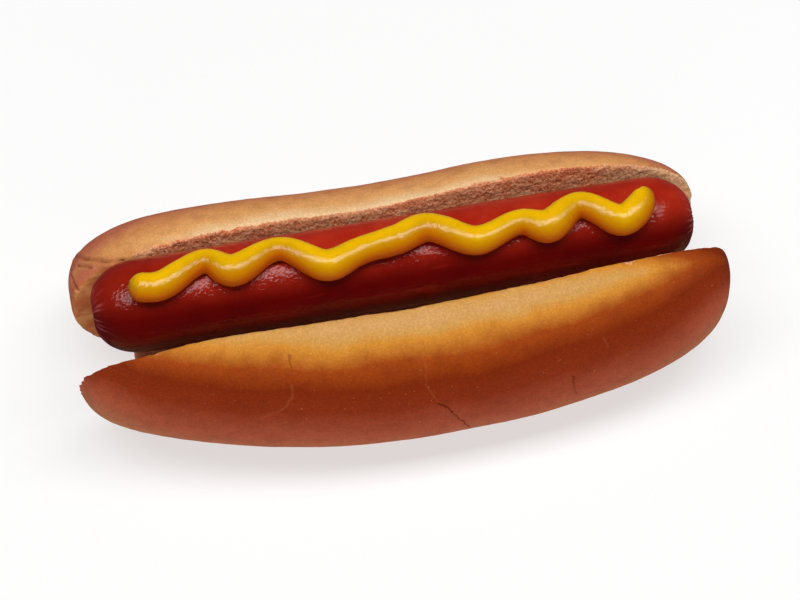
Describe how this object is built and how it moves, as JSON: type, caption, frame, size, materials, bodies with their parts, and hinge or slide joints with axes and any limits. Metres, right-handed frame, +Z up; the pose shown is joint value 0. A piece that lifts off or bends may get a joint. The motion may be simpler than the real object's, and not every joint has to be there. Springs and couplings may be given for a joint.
{
  "type": "hot dog",
  "caption": "Opened soft bun holding a glossy frankfurter along its slit, with a wavy bead of yellow mustard laid along the top of the sausage.",
  "frame": {"origin": "middle of the bounding box at the underside, on the surface the bun rests on", "axes": "+X along the bun towards the drawn-out tip of the mustard, +Y towards the far half, which stands higher, +Z up"},
  "size_m": [0.1644, 0.071, 0.0571],
  "materials": {
    "bun": "browned bread crust with pale cut crumb",
    "sausage": "wet dark red sausage skin",
    "mustard": "smooth glossy yellow mustard"
  },
  "bodies": {
    "root": {"bun": "bun", "sausage": "sausage", "mustard": "mustard"}
  },
  "joints": []
}
